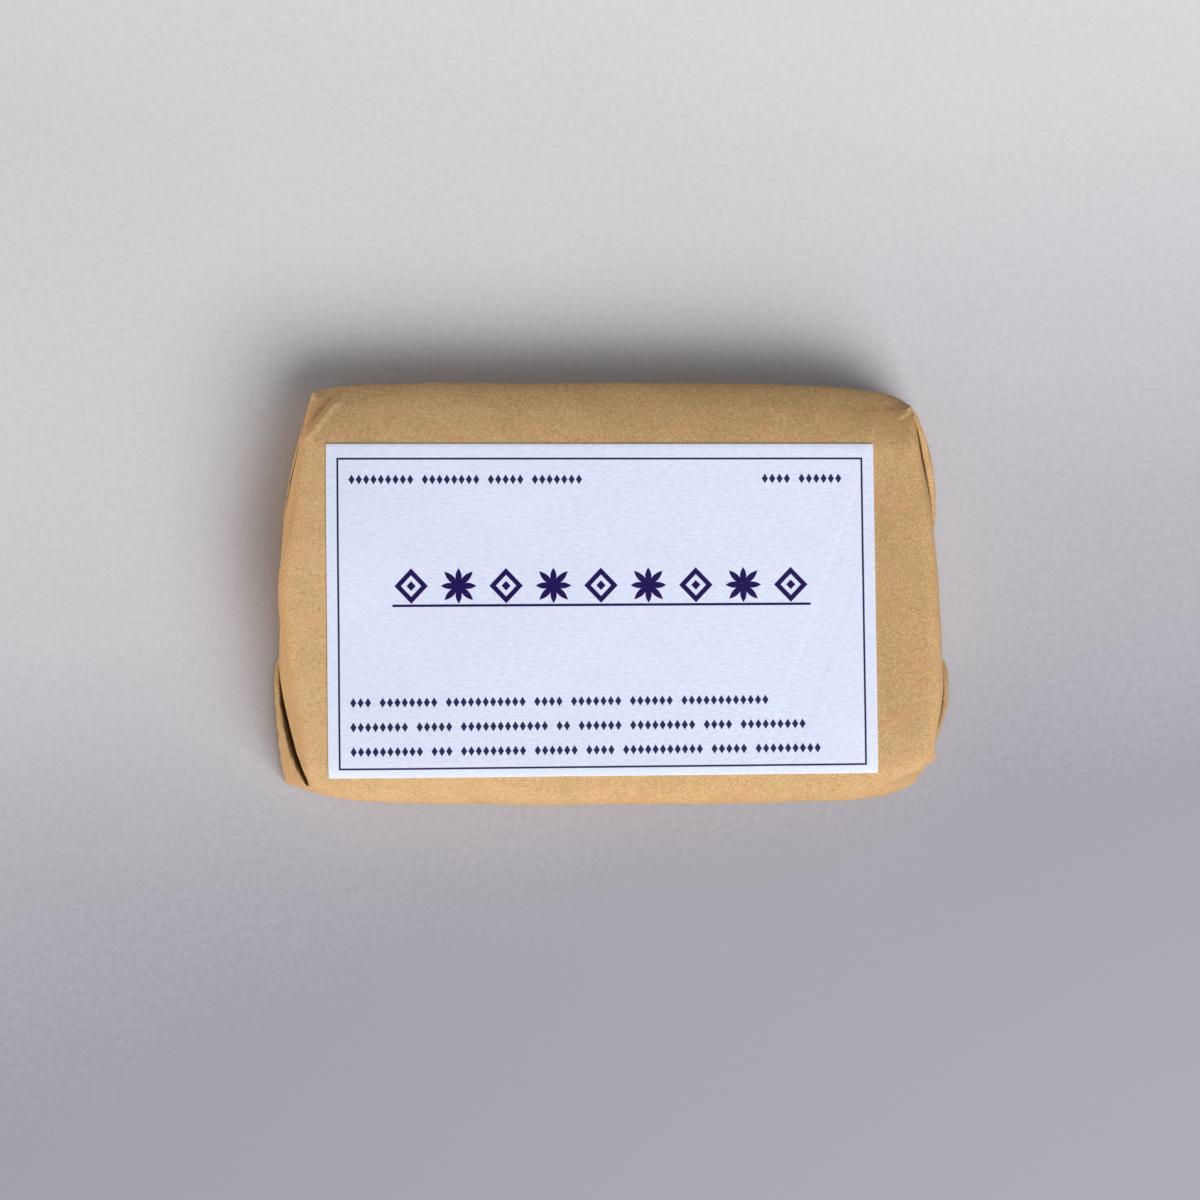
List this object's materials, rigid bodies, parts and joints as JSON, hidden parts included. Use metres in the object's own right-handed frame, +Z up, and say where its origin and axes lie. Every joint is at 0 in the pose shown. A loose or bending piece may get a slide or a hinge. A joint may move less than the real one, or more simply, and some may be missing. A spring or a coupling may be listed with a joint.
{
  "type": "wrapped butter block",
  "caption": "Small flat block of butter wrapped in brown kraft paper with tucked, folded ends and a rectangular white card label on its top.",
  "frame": {"origin": "on the surface that the block rests on, below the middle of its box", "axes": "+X along the block's length, to the right of the label as it is read; +Y towards the label's top edge; +Z up, out of the label"},
  "size_m": [0.1132, 0.07, 0.0205],
  "materials": {
    "kraft_paper": "matte, fibrous",
    "label_card": "matte, softly embossed"
  },
  "bodies": {
    "root": {"paper_wrap": "kraft_paper", "label": "label_card"}
  },
  "joints": []
}
